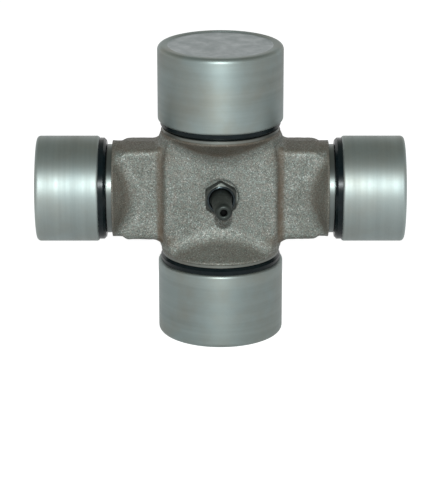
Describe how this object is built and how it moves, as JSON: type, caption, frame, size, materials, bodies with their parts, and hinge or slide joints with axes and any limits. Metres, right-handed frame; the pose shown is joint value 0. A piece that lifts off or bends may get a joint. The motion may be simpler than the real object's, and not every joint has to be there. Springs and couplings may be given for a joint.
{
  "type": "universal joint cross",
  "caption": "Forged steel cross with bearing cups on its trunnions, a thicker upright pair and a longer level pair, rubber seals and a grease nipple on the front.",
  "frame": {"origin": "the point where the two trunnion axes cross", "axes": "+Z along the axis of the thicker pair of cups, up; +X along the axis of the longer, slimmer pair; -Y towards the grease nipple, which leans 3.5 degrees from it towards +X"},
  "size_m": [0.094, 0.0374, 0.076],
  "materials": {
    "forged_steel": "shot-blasted forging with turned and ground trunnions",
    "ground_steel": "ground, with fine marks around the axis",
    "bearing_steel": "polished and greased",
    "pressed_steel": "pressed sheet",
    "plated_steel": "dark plated, turned",
    "black_rubber": "smooth moulded, slightly greasy"
  },
  "bodies": {
    "cross": {"cross_body": "forged_steel", "grease_nipple": "plated_steel", "nipple_spring": "bearing_steel"},
    "check_ball": {"nipple_ball": "bearing_steel"},
    "cup_top": {"bearing_cup_top": "ground_steel", "seal_case_top": "pressed_steel", "seal_lip_top": "black_rubber"},
    "needles_top": {"needle_rollers_top": "bearing_steel"},
    "cup_bottom": {"bearing_cup_bottom": "ground_steel", "seal_case_bottom": "pressed_steel", "seal_lip_bottom": "black_rubber"},
    "needles_bottom": {"needle_rollers_bottom": "bearing_steel"},
    "cup_left": {"bearing_cup_left": "ground_steel", "seal_case_left": "pressed_steel", "seal_lip_left": "black_rubber"},
    "needles_left": {"needle_rollers_left": "bearing_steel"},
    "cup_right": {"bearing_cup_right": "ground_steel", "seal_case_right": "pressed_steel", "seal_lip_right": "black_rubber"},
    "needles_right": {"needle_rollers_right": "bearing_steel"}
  },
  "joints": [
    {"name": "check_ball_slide", "type": "slide", "parent": "cross", "child": "check_ball", "axis": [-0.061, 0.9981, 0], "range_m": [0, 0.0006], "stiffness_N_per_m": 200, "springref_m": -0.001, "deforming": ["nipple_spring"]},
    {"name": "cup_turn_top", "type": "hinge", "parent": "cross", "child": "cup_top", "pos_m": [0, 0, 0], "axis": [0, 0, 1], "continuous": true},
    {"name": "needles_turn_top", "type": "hinge", "parent": "cross", "child": "needles_top", "pos_m": [0, 0, 0], "axis": [0, 0, 1], "continuous": true},
    {"name": "cup_turn_bottom", "type": "hinge", "parent": "cross", "child": "cup_bottom", "pos_m": [0, 0, 0], "axis": [0, 0, -1], "continuous": true},
    {"name": "needles_turn_bottom", "type": "hinge", "parent": "cross", "child": "needles_bottom", "pos_m": [0, 0, 0], "axis": [0, 0, -1], "continuous": true},
    {"name": "cup_turn_left", "type": "hinge", "parent": "cross", "child": "cup_left", "pos_m": [0, 0, 0], "axis": [-1, 0, 0], "continuous": true},
    {"name": "needles_turn_left", "type": "hinge", "parent": "cross", "child": "needles_left", "pos_m": [0, 0, 0], "axis": [-1, 0, 0], "continuous": true},
    {"name": "cup_turn_right", "type": "hinge", "parent": "cross", "child": "cup_right", "pos_m": [0, 0, 0], "axis": [1, 0, 0], "continuous": true},
    {"name": "needles_turn_right", "type": "hinge", "parent": "cross", "child": "needles_right", "pos_m": [0, 0, 0], "axis": [1, 0, 0], "continuous": true}
  ],
  "couplings": [
    {"joint": "needles_turn_top", "follows": "cup_turn_top", "ratio": 0.5662},
    {"joint": "needles_turn_bottom", "follows": "cup_turn_bottom", "ratio": 0.5662},
    {"joint": "needles_turn_left", "follows": "cup_turn_left", "ratio": 0.5691},
    {"joint": "needles_turn_right", "follows": "cup_turn_right", "ratio": 0.5691}
  ]
}
